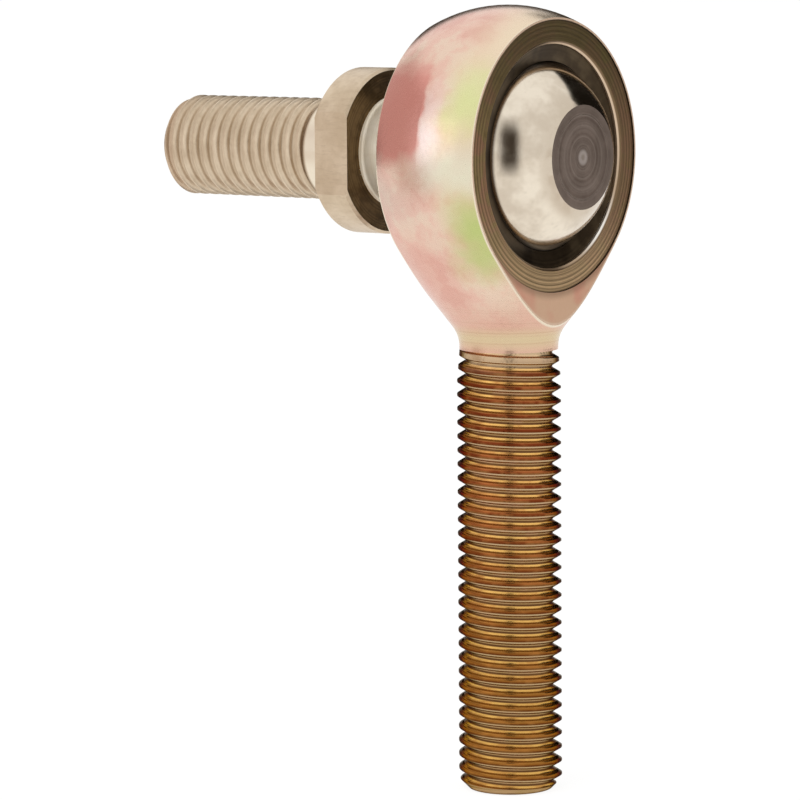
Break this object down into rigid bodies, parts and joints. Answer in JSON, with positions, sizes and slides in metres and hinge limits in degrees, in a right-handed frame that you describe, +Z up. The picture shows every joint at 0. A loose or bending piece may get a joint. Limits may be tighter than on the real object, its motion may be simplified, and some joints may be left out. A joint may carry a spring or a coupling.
{
  "type": "rod end bearing",
  "caption": "Rod end bearing with a threaded shank and a swivelling threaded ball stud that has a collar with wrench flats.",
  "frame": {"origin": "centre of the ball", "axes": "+Z up the shank towards the head, so the shank runs down -Z; the bore's axis lies along Y and the stud leaves along -Y; +X completes the frame"},
  "size_m": [0.0224, 0.0386, 0.0594],
  "materials": {
    "housing": "yellow zinc chromate, iridescent",
    "liner": "dark moulded liner",
    "ball": "polished",
    "stud": "satin nickel"
  },
  "bodies": {
    "housing": {"housing": "housing"},
    "race_liner": {"race_liner": "liner"},
    "ball": {"ball": "ball"},
    "stud": {"stud": "stud"}
  },
  "joints": [
    {"name": "swivel_direction", "type": "hinge", "parent": "housing", "child": "race_liner", "pos_m": [0, 0, 0], "axis": [0, 1, 0], "continuous": true},
    {"name": "ball_tilt", "type": "hinge", "parent": "race_liner", "child": "ball", "pos_m": [0, 0, 0], "axis": [1, 0, 0], "range_deg": [-30, 30]},
    {"name": "stud_spin", "type": "hinge", "parent": "ball", "child": "stud", "pos_m": [0, 0, 0], "axis": [0, 1, 0], "continuous": true}
  ]
}
